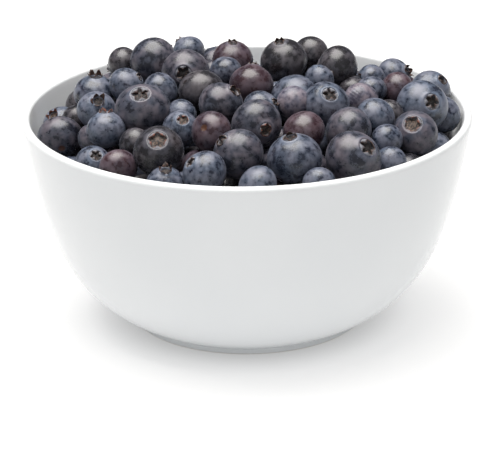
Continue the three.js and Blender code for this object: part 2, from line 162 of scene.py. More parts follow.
def bowl_section():
    """Section of the bowl as radius and height, from the middle of its floor up the inside,
    over the lip, down the outside and round the foot ring to the middle of its underside:
    the floor rises by a power of the radius, the lip is half a circle, and so are the edges"""
    rising = np.linspace(0, 1, WALL_RINGS)
    inside = inner_wall(rising)[0]
    outside = outer_wall(rising)[0]
    outward = np.linspace(0, 1, FLOOR_RINGS)[1:, None]
    floor = np.hstack([
        outward * inside[0, 0],
        FLOOR_HEIGHT + (inside[0, 1] - FLOOR_HEIGHT) * outward ** FLOOR_POWER,
    ])
    lip_middle = (inside[-1] + outside[-1]) / 2
    across = (outside[-1] - inside[-1]) / 2
    upward = np.array([-across[1], across[0]])
    turn = np.linspace(np.pi, 0, LIP_RINGS)[1:-1, None]
    lip = lip_middle + np.cos(turn) * across + np.sin(turn) * upward
    ring_inside = FOOT_RADIUS - FOOT_RING_WIDTH
    foot = np.vstack([
        arc((FOOT_RADIUS - FOOT_EDGE, FOOT_HEIGHT - FOOT_EDGE), FOOT_EDGE, 60, 0, 5),
        arc((FOOT_RADIUS - FOOT_EDGE, FOOT_EDGE), FOOT_EDGE, 0, -90, 7),
        arc((ring_inside + FOOT_EDGE, FOOT_EDGE), FOOT_EDGE, 270, 180, 7),
        arc((ring_inside - FOOT_EDGE, FOOT_RECESS - FOOT_EDGE), FOOT_EDGE, 0, 90, 6),
        [[share * ring_inside, FOOT_RECESS] for share in UNDERSIDE_RINGS],
    ])
    return np.vstack([floor[:-1], inside, lip, outside[::-1], foot])


def turned_faces(rings, sectors):
    """Corner numbers of a closed turned surface whose points are one end's point, then each
    ring's, then the other end's: four-sided faces between rings, three-sided at the ends"""
    ring, sector = np.mgrid[0:rings - 1, 0:sectors]
    onward = (sector + 1) % sectors
    first = 1 + ring * sectors
    walls = np.stack(
        [first + sector, first + sectors + sector, first + sectors + onward, first + onward],
        axis=-1,
    ).reshape(-1, 4)
    side = np.arange(sectors)
    beside = (side + 1) % sectors
    last = 1 + (rings - 1) * sectors
    top = np.stack([np.zeros(sectors, int), 1 + side, 1 + beside], axis=-1)
    end = np.full(sectors, last + sectors)
    bottom = np.stack([end, last + beside, last + side], axis=-1)
    return walls, np.vstack([top, bottom])


def all_round(count):
    """Angles in equal steps, once round"""
    return 2 * np.pi * np.arange(count) / count


def around(reach, angle, height):
    """Points at a reach from the upright axis, an angle about it and a height"""
    sizes = np.broadcast_arrays(reach * np.cos(angle), reach * np.sin(angle), height)
    return np.stack(sizes, axis=-1)


def make_piece(name, points, faces, material, slot="blueberry_skin", node="blueberries", **marks):
    """Puts the copies of a closed form into one smooth mesh at the origin, and lets it stand
    for the solid that it covers. points has a row for each copy, faces has corner numbers of
    one copy, and marks are vectors for the points, which the material reads by name"""
    starts = np.arange(len(points))[:, None, None] * points.shape[1]
    faces = [(part + starts).reshape(-1, part.shape[1]) for part in faces]
    corners = np.concatenate([part.ravel() for part in faces])
    sides = np.concatenate([np.full(len(part), part.shape[1]) for part in faces])
    mesh = bpy.data.meshes.new(name)
    mesh.vertices.add(points.size // 3)
    mesh.vertices.foreach_set("co", points.astype(np.float32).ravel())
    mesh.loops.add(len(corners))
    mesh.loops.foreach_set("vertex_index", corners.astype(np.int32))
    mesh.polygons.add(len(sides))
    mesh.polygons.foreach_set("loop_start", (np.cumsum(sides) - sides).astype(np.int32))
    mesh.polygons.foreach_set("use_smooth", np.ones(len(sides), dtype=bool))
    mesh.update(calc_edges=True)
    mesh.materials.append(material)
    for mark, values in marks.items():
        values = np.broadcast_to(values, points.shape).astype(np.float32)
        attribute = mesh.attributes.new(mark, "FLOAT_VECTOR", "POINT")
        attribute.data.foreach_set("vector", values.ravel())
    piece = bpy.data.objects.new(name, mesh)
    scene.collection.objects.link(piece)
    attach(piece, "root")
    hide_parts(node)


def new_material(name):
    """An empty material and its node tree"""
    material = bpy.data.materials.new(name)
    material.use_nodes = True
    material.node_tree.nodes.clear()
    return material, material.node_tree


def add_node(tree, kind, settings=None, **inputs):
    """Adds a node. settings are its own choices, and each input is a value or the socket of
    another node: by its name with underscores for spaces, or by its number after one"""
    node = tree.nodes.new("ShaderNode" + kind)
    for name, value in (settings or {}).items():
        setattr(node, name, value)
    for name, value in inputs.items():
        key = int(name[1:]) if name[0] == "_" else name.replace("_", " ")
        socket = node.inputs[key]
        if isinstance(value, bpy.types.NodeSocket):
            tree.links.new(value, socket)
        else:
            socket.default_value = value
    return node


def add_surface(tree, **inputs):
    """Adds the material's surface shader, and its output"""
    surface = add_node(tree, "BsdfPrincipled", **inputs)
    add_node(tree, "OutputMaterial", Surface=surface.outputs["BSDF"])


def noise(tree, place, scale, detail=2.0, roughness=0.5, turn=0.0):
    """Noise between 0 and 1 at a place, with turn as its fourth coordinate"""
    return add_node(
        tree, "TexNoise", {"noise_dimensions": "4D"},
        Vector=place, W=turn, Scale=scale, Detail=detail, Roughness=roughness,
    ).outputs["Fac"]


def ramp(tree, value, low, high, start=0.0, end=1.0):
    """Takes low to start and high to end, in a smooth step"""
    return add_node(
        tree, "MapRange", {"interpolation_type": "SMOOTHSTEP"},
        Value=value, From_Min=low, From_Max=high, To_Min=start, To_Max=end,
    ).outputs["Result"]


def calculate(tree, operation, first, second):
    """One step of arithmetic on two numbers"""
    return add_node(tree, "Math", {"operation": operation}, _0=first, _1=second).outputs[0]


def added(tree, first, *others):
    """The sum of all the numbers, from the first on"""
    for other in others:
        first = calculate(tree, "ADD", first, other)
    return first


def times(tree, first, *others):
    """The product of all the numbers, from the first on"""
    for other in others:
        first = calculate(tree, "MULTIPLY", first, other)
    return first


def swing(tree, value, strength):
    """How far a noise is from its middle value of a half, times a strength"""
    return times(tree, calculate(tree, "SUBTRACT", value, 0.5), strength)


def split(tree, vector):
    """The three numbers of a vector"""
    return add_node(tree, "SeparateXYZ", Vector=vector).outputs


def blend_colours(tree, share, first, second):
    """The first colour where share is 0, the second where it is 1"""
    node = add_node(tree, "Mix", {"data_type": "RGBA"}, _0=share, _6=first, _7=second)
    return node.outputs[2]


def bumped(tree, height, strength, depth):
    """Fine relief for a surface: its strength, and its depth in metres"""
    node = add_node(tree, "Bump", Strength=strength, Distance=depth, Height=height)
    return node.outputs["Normal"]


GLAZE_COLOUR = (0.80, 0.818, 0.828, 1)
GLAZE_SHADE = (0.78, 0.80, 0.812, 1)
BARE_CLAY = (0.62, 0.60, 0.56, 1)
CLOUD_RAMP = (0.35, 0.65)
WIPED_RAMP = (0.0002, 0.0006)
GLAZE_ROUGHNESS = 0.1
RIPPLE_ROUGHNESS = 0.08
CLAY_ROUGHNESS = 0.6


def porcelain():
    """White body under a clear glaze: its tone drifts a little in broad clouds, the glaze
    has a faint ripple, and the lowest edge of the foot ring is bare and matt"""
    material, tree = new_material("glazed_white_porcelain")
    place = add_node(tree, "TexCoord").outputs["Object"]
    bare = ramp(tree, split(tree, place)["Z"], *WIPED_RAMP, 1.0, 0.0)
    clouds = ramp(tree, noise(tree, place, scale=18.0), *CLOUD_RAMP)
    glaze = blend_colours(tree, clouds, GLAZE_COLOUR, GLAZE_SHADE)
    ripple = noise(tree, place, scale=90.0, detail=1.0)
    gloss = added(tree, times(tree, ripple, RIPPLE_ROUGHNESS), GLAZE_ROUGHNESS)
    add_surface(
        tree, Base_Color=blend_colours(tree, bare, glaze, BARE_CLAY), IOR=1.5,
        Roughness=added(tree, gloss, times(tree, bare, CLAY_ROUGHNESS)),
        Normal=bumped(tree, ripple, strength=0.05, depth=0.0004),
    )
    return material


def make_bowl():
    """The section turned about the upright axis. The firing left the rim a hair out of true,
    in two slow waves that grow with the height"""
    section = bowl_section()
    angles = all_round(BOWL_SECTORS)
    radius, height = section[1:, :1], section[1:, 1:]
    wave = RIM_WAVE * (height / WALL_TOP) ** 2
    rings = around(
        radius + wave * np.cos(2 * angles + RIM_TURNS[0]), angles,
        height + wave * np.cos(3 * angles + RIM_TURNS[1]),
    )
    points = np.vstack([[[0, 0, FLOOR_HEIGHT]], rings.reshape(-1, 3), [[0, 0, FOOT_RECESS]]])
    make_piece(
        "porcelain_bowl", points[None], turned_faces(len(rings), BOWL_SECTORS), porcelain(),
        slot="white_porcelain", node="bowl",
    )


make_bowl()


# The heap of berries: fresh blueberries poured in until they stand well over the rim.
# They lie on each other and against the wall, and their level runs along a low ridge.
WALL_LEVEL = 0.0655
WALL_LEVEL_RIGHT = 0.0026
WALL_LEVEL_FRONT = 0.003
SHOULDER_LEVEL = 0.0045
SHOULDER_ANGLE = np.radians(30)
SHOULDER_POWER = 4
RIDGE_LEVEL = 0.0845
RIDGE_LEFT = -0.03
RIDGE_RIGHT = 0.018
RIDGE_BACK = 0.026
HEAP_RADIUS = 0.064
FRONT_ROUNDNESS = 2.1
BACK_ROUNDNESS = 0.95


def heap_level(x, y):
    """Height of the berries' middles: from the ridge's nearest point, it falls with a power
    of the share of the way to the wall, down to the wall's own level. The power is higher at
    the front, which makes a round slope there and a straight one behind"""
    ridge_x = np.clip(x, RIDGE_LEFT, RIDGE_RIGHT)
    across, along = x - ridge_x, y - RIDGE_BACK
    distance = np.hypot(across, along) + 1e-12
    across, along = across / distance, along / distance
    outward = ridge_x * across + RIDGE_BACK * along
    to_wall = -outward + np.sqrt(outward ** 2 - ridge_x ** 2 - RIDGE_BACK ** 2 + HEAP_RADIUS ** 2)
    share = np.minimum(1, distance / to_wall)
    roundness = FRONT_ROUNDNESS + (BACK_ROUNDNESS - FRONT_ROUNDNESS) * np.maximum(0, along)
    angle = np.arctan2(y, x)
    shoulder = np.maximum(0, np.cos(angle - SHOULDER_ANGLE)) ** SHOULDER_POWER
    edge = WALL_LEVEL + WALL_LEVEL_RIGHT * np.cos(angle) - WALL_LEVEL_FRONT * np.sin(angle)
    edge = edge + SHOULDER_LEVEL * shoulder
    return edge + (RIDGE_LEVEL - edge) * (1 - share ** roundness)


# The berries that show from the front: picture place, width in millimetres, how much deeper
# than the heap's level it lies in millimetres, and the kind of its skin. Where its stem's
# scar or its crown shows, "stem" or the crown's form follows, with its picture place
LEFT_BACK = [
    (54.6, 125.5, 12.5, 0, "blue", "red_tuft", 46.7, 116),
    (73, 108, 12, 0, "dark"),
    (79, 117, 10.5, 4, "dark"),
    (95.5, 98, 14.5, 0, "blue", "tuft", 97, 78),
    (97, 113, 13, 0, "blue", "tuft", 100, 103),
    (124.5, 87, 12.5, 0, "blue", "low", 139, 77),
    (127, 63.5, 11.5, 0, "dark"),
    (151.9, 62.5, 16, 0, "slate"),
    (188, 53, 11.5, 0, "blue", "low", 176.6, 38),
    (184.6, 73, 16, 0, "slate", "star", 183, 75.5),
    (159, 94, 12.5, 0, "blue"),
    (202.5, 92, 15, 0, "dark"),
    (225.2, 73, 11.5, 0, "blue"),
    (232.4, 60, 14, 0, "plum", "low", 233, 42),
]
LEFT_FRONT = [
    (61.8, 136.6, 15, 0, "slate", "stem", 65, 150),
    (108, 129.5, 13, 0, "blue", "red_tuft", 107.3, 109.8),
    (97, 136, 12, 5, "slate"),
    (144.7, 110.5, 18, 0, "slate", "star", 143.1, 93.3),
    (178, 115, 10.5, 3, "blue"),
    (183, 130, 12, 0, "blue", "ring", 185.4, 120.4),
    (208.5, 132, 13.5, 0, "plum", "stem", 199.7, 127.6),
    (158.3, 151, 16.5, 0, "dark", "ring", 157.5, 138.8),
    (134.4, 144.8, 10.5, 4, "dark"),
    (119.2, 168, 12.5, 0, "plum"),
    (94, 164, 12, 0, "blue", "star", 97.7, 154.7),
    (166, 185, 12, 0, "blue", "tuft", 167, 169.5),
    (204.5, 174.5, 14.5, 0, "blue", "star", 188.5, 162),
]
MIDDLE = [
    (220.5, 104, 15, 0, "slate", "low", 235, 89.5),
    (237.4, 153.5, 16.5, 0, "slate", "low", 219.5, 139.5),
    (257.5, 186.5, 13, 0, "blue"),
    (256.3, 124.5, 16.5, 0, "slate", "stub", 266.3, 130.5),
    (261.5, 111.5, 12.5, 0, "blue", "low", 275.9, 103.5),
    (253.4, 85.5, 15, 0, "plum", "low", 255, 62),
    (287, 60, 16, 0, "dark", "low", 282, 40.5),
    (307.5, 56, 12.5, 0, "dark"),
    (341.6, 72.5, 14.5, 0, "dark"),
    (317, 82, 10.5, 0, "blue"),
    (295, 97, 17, 5, "blue"),
    (297, 103, 11, 2, "pale"),
    (320, 105, 15.5, 0, "blue", "star", 323.7, 94.1),
]
RIGHT_FRONT = [
    (350, 131, 15.5, 0, "slate"),
    (304, 132.5, 14, 1, "plum"),
    (295, 160.5, 17.5, 0, "blue", "low", 289.4, 137),
    (354, 158.5, 18, 0, "slate", "star", 369, 146.5),
    (388, 140, 10.5, 0, "blue"),
    (389, 163, 10.5, 4, "blue"),
    (416.5, 137, 15, 0, "slate", "ring", 412.2, 126.8),
    (434, 147, 11, 6, "blue"),
    (322, 189, 10.5, 2, "blue"),
]
RIGHT_BACK = [
    (362, 103, 12, 0, "pale"),
    (373.3, 117, 13, 0, "blue"),
    (391, 114, 10.5, 5, "dark"),
    (420, 107.5, 17.5, 0, "blue", "star", 429.7, 103.7),
    (442, 115, 14, 0, "blue"),
    (435, 91, 14, 0, "blue", "low", 447, 80),
    (394, 76.5, 12.5, 0, "blue", "tuft", 409, 70),
    (394, 90.5, 11.5, 0, "plum"),
    (370, 90, 10.5, 6, "blue"),
    (367.5, 83, 10.5, 4, "blue"),
    (357, 84, 10.5, 6, "dark"),
]
SHOWING = LEFT_BACK + LEFT_FRONT + MIDDLE + RIGHT_FRONT + RIGHT_BACK
MILLIMETRE = 0.001
SMALLEST_BERRY = 0.0052

# How far before and behind the view's target the heap is looked for, and how finely
SEARCH = {"before": 0.13, "behind": 0.11, "steps": 241, "back": 0.06}

# The other berries: the spare ones, which the showing ones hide, those in the gaps between
# them, and the lower ones. How many places are tried for them, how near they may come to
# others, and how deep under the heap's level they start
SPARE = {"tries": 1500, "reach": 0.063, "least": 0.0063, "spread": 0.0024, "near": 0.92}
GAP = {
    "tries": 6000, "reach": 0.066, "least": 0.0052, "spread": 0.0026, "near": 0.84,
    "under": 0.005, "depth": 0.006,
}
LOWER = {
    "tries": 6000, "reach": 0.062, "least": 0.006, "spread": 0.0024, "near": 0.84,
    "under": 0.008, "depth": 0.011,
}
HIDING_DROPS = (0, 0.002, 0.004, 0.006, 0.008, 0.01, 0.012)
HIDING_MARGIN = 1.1
HIDING_POINTS = 8

# The seeded run of numbers
SEED = 7
DRAW_FACTOR = 1664525
DRAW_STEP = 1013904223
DRAW_TURN = 2 ** 32

# Settling: how close two berries may lie, and how strongly each rule moves them in a round
SETTLING_ROUNDS = 160
TOUCH = 0.985
PUSH = 0.275
SHOWING_SHARE = 0.6
TO_SIGHT = 0.18
TO_DEPTH = 0.08
BERRY_CLEARANCE = 0.00035
CLEAR_OF_RIM = 0.2
RIM_HEIGHT = 0.0715
WALL_PLACES = 40


def meet_heap(lines):
    """Where each line of sight comes down onto the heap's level, found between two steps by
    their gaps, or else the step at which it comes nearest to the level"""
    reach = VIEW_DISTANCE + np.linspace(-SEARCH["before"], SEARCH["behind"], SEARCH["steps"])
    points = EYE + lines[:, None] * reach[:, None]
    gap = points[..., 2] - heap_level(points[..., 0], points[..., 1])
    crossing = (gap[:, :-1] > 0) & (gap[:, 1:] <= 0)
    row = np.arange(len(lines))
    after = np.argmax(crossing, axis=1) + 1
    step = reach[1] - reach[0]
    between = step * gap[row, after] / (gap[row, after - 1] - gap[row, after])
    near = np.where(np.abs(points[..., 1]) < SEARCH["back"], gap, np.inf)
    met = np.where(crossing.any(axis=1), reach[after] + between, reach[np.argmin(near, axis=1)])
    return EYE + lines * met[:, None]


def seeded_draw(seed):
    """The same run of numbers between 0 and 1 for the same seed: each is the one before
    times a whole number plus another, and what is over after whole turns of 2 to the 32"""
    state = seed
    while True:
        state = (state * DRAW_FACTOR + DRAW_STEP) % DRAW_TURN
        yield state / DRAW_TURN


def is_hidden(point, radius, places, away, discs):
    """Whether the middle of a berry and some points round its edge, in the picture, each
    lie within the disc of some showing berry that is nearer"""
    place, distance, scale = pictured(point)
    turn = all_round(HIDING_POINTS)
    ring = np.stack([np.cos(turn), np.sin(turn)], axis=1) * radius * scale * HIDING_MARGIN
    spots = np.vstack([place, place + ring])
    gaps = np.linalg.norm(spots[:, None] - places, axis=2)
    return bool(((gaps < discs) & (away < distance)).any(axis=1).all())


def scatter(rule, draw, middles, radii, settle):
    """Tries places at random over the bowl: an angle, and the root of a draw for the reach.
    A berry stays where settle finds it a middle that is clear of the others"""
    for _ in range(rule["tries"]):
        angle = 2 * np.pi * next(draw)
        reach = np.sqrt(next(draw)) * rule["reach"]
        radius = rule["least"] + rule["spread"] * next(draw)
        middle = settle(reach * np.cos(angle), reach * np.sin(angle), radius)
        if middle is None:
            continue
        gaps = np.linalg.norm(np.array(middles) - middle, axis=1)
        if (gaps > rule["near"] * (radius + np.array(radii))).all():
            middles.append(middle)
            radii.append(radius)


def keep_off_wall(middles, radii):
    """Pushes each berry square away from the nearest place of the inside wall, where it would
    come closer to it than its radius"""
    places, inward = inner_wall(np.linspace(0, 1, WALL_PLACES))
    reach = np.hypot(middles[:, 0], middles[:, 1])
    section = np.stack([reach, middles[:, 2]], axis=1)
    nearest = np.argmin(np.linalg.norm(section[:, None] - places, axis=2), axis=1)
    gap = ((section - places[nearest]) * inward[nearest]).sum(axis=1)
    push = np.maximum(0, radii + BERRY_CLEARANCE - gap)
    push[middles[:, 2] - radii * CLEAR_OF_RIM > RIM_HEIGHT + LIP_THICKNESS] = 0
    scale = (reach + push * inward[nearest, 0]) / np.maximum(reach, 1e-9)
    lifted = middles[:, 2] + push * inward[nearest, 1]
    return np.column_stack([middles[:, :2] * scale[:, None], lifted])


def settled_heap():
    """All the berries: the showing ones on their lines of sight, then the others, pushed
    apart round after round where they overlap. All but the lower ones are drawn back to
    their places. Also gives how many lie above the lower ones"""
    places = np.array([row[:2] for row in SHOWING])
    lines = sight_lines(places)
    deeper = np.array([row[3] for row in SHOWING]) * MILLIMETRE
    starts = meet_heap(lines) + lines * deeper[:, None]
    widths = np.array([row[2] for row in SHOWING]) * MILLIMETRE
    radii = list(np.maximum(widths / 2, SMALLEST_BERRY))
    middles = list(starts)
    seen, away, scale = pictured(starts)
    discs = np.array(radii) * scale
    draw = seeded_draw(SEED)

    def settle_spare(x, y, radius):
        for drop in HIDING_DROPS:
            middle = np.array([x, y, heap_level(x, y) - drop])
            if is_hidden(middle, radius, seen, away, discs):
                return middle
        return None

    def settle_under(rule):
        return lambda x, y, radius: np.array(
            [x, y, heap_level(x, y) - rule["under"] - rule["depth"] * next(draw)])

    scatter(SPARE, draw, middles, radii, settle_spare)
    scatter(GAP, draw, middles, radii, settle_under(GAP))
    upper = len(middles)
    scatter(LOWER, draw, middles, radii, settle_under(LOWER))
    showing = len(SHOWING)
    middles, radii = np.array(middles), np.array(radii)
    starts = middles[:upper].copy()
    share = np.where(np.arange(len(middles)) < showing, SHOWING_SHARE, 1.0)[:, None]
    touch = TOUCH * (radii[:, None] + radii)
    for _ in range(SETTLING_ROUNDS):
        gaps = middles[:, None] - middles
        distance = np.linalg.norm(gaps, axis=2) + np.eye(len(middles))
        overlap = np.where(distance < touch, (touch - distance) / distance * PUSH, 0)
        np.fill_diagonal(overlap, 0)
        middles = middles + share * (gaps * overlap[..., None]).sum(axis=1)
        front = middles[:showing]
        from_eye = front - EYE
        reach = (from_eye * lines).sum(axis=1, keepdims=True)
        front = front - TO_SIGHT * (from_eye - reach * lines)
        beyond = ((front - starts[:showing]) * lines).sum(axis=1, keepdims=True)
        middles[:showing] = front - TO_DEPTH * beyond * lines
        hidden = middles[showing:upper]
        middles[showing:upper] = hidden + TO_DEPTH * (starts[showing:] - hidden)
        middles = keep_off_wall(middles, radii)
    return middles, radii, upper


MIDDLES, RADII, TOP_BERRIES = settled_heap()


# The skin of the berries: a blueberry is flatter from its crown to its stem than it is wide,
# with a sunken basin inside the ring of the crown and a small dry scar where the stem was.
# Its blue-black skin is dusted with pale wax, which handling has rubbed off in patches.
BERRY_FLATNESS = 0.9
FLATNESS_SPREAD = 0.035
ROUND_SPREAD = 0.022
LUMP_HEIGHT = 0.012
LUMP_SHARE = 0.7
NEARLY_UPRIGHT = 0.9
SCAR_RANGE = (0.3, 0.8)
RING_RADIUS = 0.37
RING_SPREAD = 0.05
RING_RISE = 0.045
RING_WIDTH = 0.07
BASIN_DEPTH = 0.13
BASIN_FLOOR = 0.5
BOSS_RISE = 0.035
BOSS_RADIUS = 0.09
DIMPLE_DEPTH = 0.08
DIMPLE_RADIUS = 0.195
CROWN_END = 0.62
STEM_END = 2.82
SKIN_ANGLES = np.concatenate([
    np.linspace(0, CROWN_END, 13)[1:],
    np.linspace(CROWN_END, STEM_END, 19)[1:],
    np.linspace(STEM_END, np.pi, 7)[1:-1],
])
SKIN_SECTORS = 37
WRINKLED_SECTORS = 168
RIB_COUNT = 34
RIB_HEIGHT = 0.005
RIB_REACH = (0.45, 0.8)
RIB_BEND = 1.5

# The forms of the crowns: how far the lobes lean outwards in radians, how long they are and
# how wide the ring is against the usual, and how rusty the dry skin is
CROWN_FORMS = {
    "tuft": (0.15, 1.25, 0.9, 0.3),
    "red_tuft": (0.15, 1.1, 0.9, 1.0),
    "low": (-0.35, 0.7, 0.75, 0.2),
    "stub": (-0.8, 0.6, 0.7, 0.9),
    "star": (-1.3, 1.1, 0.95, 0.2),
    "ring": (-1.1, 0.75, 1.1, 0.75),
}
HIDDEN_FORMS = ("star", "low", "ring", "star", "tuft")

random = np.random.default_rng(SEED)


def unit(vectors):
    """Each vector made one long"""
    return vectors / np.linalg.norm(vectors, axis=-1, keepdims=True)


def crown_directions():
    """Way each crown faces. Where the crown or the stem's scar shows, its offset from the
    berry's middle in the picture gives the way, with the rest of a unit length towards the
    eye. All the others are drawn at random, and turned over where they would face the eye"""
    draw = seeded_draw(SEED)
    drawn = np.array([next(draw) for _ in range(2 * len(MIDDLES))]).reshape(-1, 2)
    height = 2 * drawn[:, 0] - 1
    ring = np.sqrt(1 - height ** 2)
    angle = 2 * np.pi * drawn[:, 1]
    ways = around(ring, angle, height)
    ways -= 2 * np.minimum(0, ways @ LOOKING)[:, None] * LOOKING
    for index, row in enumerate(SHOWING):
        if len(row) > 5:
            place = np.array(row[:2])
            start = meet_heap(sight_lines(place[None])) + LOOKING * row[3] * MILLIMETRE
            scale = pictured(start)[2][0] * RADII[index]
            offset = (np.array(row[6:8]) - place) / scale @ TURNED
            toward = np.sqrt(max(0.0, 1 - offset @ offset))
            way = offset[0] * SIDEWAYS - offset[1] * UPWARDS - toward * LOOKING
            ways[index] = -way if row[5] == "stem" else way
    return unit(ways)


def berry_frames(ways):
    """Three directions for each berry, square to each other, of which the last is its
    crown's way and the others are turned about it at random"""
    helper = np.where(np.abs(ways[:, 2:]) < NEARLY_UPRIGHT, [[0, 0, 1]], [[1, 0, 0]])
    side = unit(np.cross(helper, ways))
    front = np.cross(ways, side)
    twist = random.uniform(0, 2 * np.pi, (len(ways), 1))
    first = side * np.cos(twist) + front * np.sin(twist)
    return np.stack([first, np.cross(ways, first), ways], axis=1)


WAYS = crown_directions()
FRAMES = berry_frames(WAYS)
FLATNESS = BERRY_FLATNESS + FLATNESS_SPREAD * random.uniform(-1, 1, len(RADII))
LONGER = ROUND_SPREAD * random.uniform(-1, 1, len(RADII))
OVALS = np.stack([1 + LONGER, 1 - LONGER, np.ones(len(RADII))], axis=1)


def chosen_forms():
    """Form of each crown: as the tables say, and each hidden form in turn for the others"""
    forms = [HIDDEN_FORMS[index % len(HIDDEN_FORMS)] for index in range(len(RADII))]
    for index, row in enumerate(SHOWING):
        if len(row) > 5 and row[5] != "stem":
            forms[index] = row[5]
    return np.array([CROWN_FORMS[form] for form in forms])


def stem_scars():
    """How plain the stem's scar is on each berry. The showing berries have one only where
    the tables say so"""
    scars = random.uniform(*SCAR_RANGE, len(RADII))
    for index, row in enumerate(SHOWING):
        scars[index] = 1.0 if len(row) > 5 and row[5] == "stem" else 0.0
    return scars


FORMS = chosen_forms()
SCARS = stem_scars()
RINGS = FORMS[:, 2] * (RING_RADIUS + RING_SPREAD * random.uniform(-1, 1, len(RADII)))
LUMPS = random.uniform(0, 2 * np.pi, (len(RADII), 3))
DRAWS = random.uniform(0, 1, (len(RADII), 3))


def smooth_step(low, high, values):
    """0 below low, 1 above high, and three squares less two cubes of the share between"""
    share = np.clip((values - low) / (high - low), 0, 1)
    return share * share * (3 - 2 * share)


def skin_profile(reach, flatness, ring, scar, crown_side):
    """Height of the skin at a reach from the axis, for a berry of radius 1: an ellipse, with
    a bell-shaped rise at the crown's ring, a smooth fall inside it and a low boss in its
    middle on the crown's side, and a bell-shaped dimple on the stem's side"""
    rise = RING_RISE * np.exp(-((reach - ring) / RING_WIDTH) ** 2)
    basin = BASIN_DEPTH * (1 - smooth_step(BASIN_FLOOR * ring, ring, reach))
    boss = BOSS_RISE * np.exp(-(reach / BOSS_RADIUS) ** 2)
    dimple = scar * DIMPLE_DEPTH * np.exp(-(reach / DIMPLE_RADIUS) ** 2)
    oval = flatness * np.sqrt(np.maximum(0, 1 - reach ** 2))
    return np.where(crown_side, oval + rise - basin + boss, dimple - oval)


def placed_points(own, chosen):
    """Points of each chosen berry's own frame brought to its place: turned with the berry,
    times its radius, plus its middle"""
    return MIDDLES[chosen, None] + RADII[chosen, None, None] * (own @ FRAMES[chosen])


def skin_points(chosen, angles, sectors, rib_height):
    """Points of each chosen berry in its own frame: the reach is the sine of the angle from
    the crown, times 1 plus slow waves round the berry and the ribs of a shrunken skin, and
    the height comes from the skin's profile"""
    angle = np.concatenate([[0], np.repeat(angles, sectors), [np.pi]])
    turn = np.concatenate([[0], np.tile(all_round(sectors), len(angles)), [0]])
    reach = np.sin(angle)[None]
    phase = LUMPS[chosen]
    waves = np.sin(2 * turn + phase[:, :1])
    waves = waves + LUMP_SHARE * np.sin(3 * turn + phase[:, 1:2] + angle)
    ribs = np.sin(RIB_COUNT * turn + RIB_BEND * np.sin(3 * angle + phase[:, 2:3]))
    ribs = rib_height * ribs * smooth_step(*RIB_REACH, reach)
    wide = reach * (1 + LUMP_HEIGHT * waves * reach + ribs)
    height = skin_profile(
        reach, FLATNESS[chosen, None], RINGS[chosen, None], SCARS[chosen, None],
        (angle < np.pi / 2)[None],
    )
    return around(wide, turn, height) * OVALS[chosen, None]


def read_mark(tree, name):
    """The vectors that the mesh keeps for its points under a name"""
    return add_node(tree, "Attribute", {"attribute_name": name}).outputs["Vector"]


def make_berries(name, chosen, material, angles=SKIN_ANGLES, sectors=SKIN_SECTORS, ribs=0.0):
    """One mesh of all the chosen berries. Each point keeps its place in its berry, its
    berry's three random numbers, and how plain its scar, how wide its ring and how rusty its
    crown is"""
    own = skin_points(chosen, angles, sectors, ribs)
    ends = np.stack([SCARS, RINGS, FORMS[:, 3]], axis=1)
    make_piece(
        name, placed_points(own, chosen), turned_faces(len(angles), sectors), material,
        berry_place=own, berry_draws=DRAWS[chosen, None], berry_ends=ends[chosen, None],
    )


# The noises of the wax, as scale, detail and roughness against a berry of radius 1, and how
# far they sway the cover of wax from one place to the next
CLOUDS = (1.8, 3.0, 0.55)
MOTTLE = (3.6, 4.0, 0.52)
GRAIN = (34.0, 3.0, 0.6)
SPECKS = (15.0, 2.0, 0.5)
STREAKS = (1.0, 4.0, 0.6)
RUBS = (2.4, 4.0, 0.7)
CLOUD_SWING = 2.3
MOTTLE_SWING = 2.0
GRAIN_SWING = 0.8
BERRY_SWING = 0.24
STREAK_STRETCH = (7.0, 7.0, 1.6)
RUBBED_RAMP = (0.52, 0.68)
SPECK_RAMP = (0.66, 0.74)
SPECK_LOSS = 0.2
EDGE_SWING = 0.08
SCAR_RAMP = (0.13, 0.18)
BASIN_RAMP = (0.62, 0.86)
SHOULDER_RISE = (0.85, 1.05)
SHOULDER_FALL = (1.1, 1.6)
SHOULDER_WAX = 0.6
BERRY_TURNS = 40.0
RUB_TURN = 11.0
GRAIN_RELIEF = 0.35
MOTTLE_RELIEF = 0.65


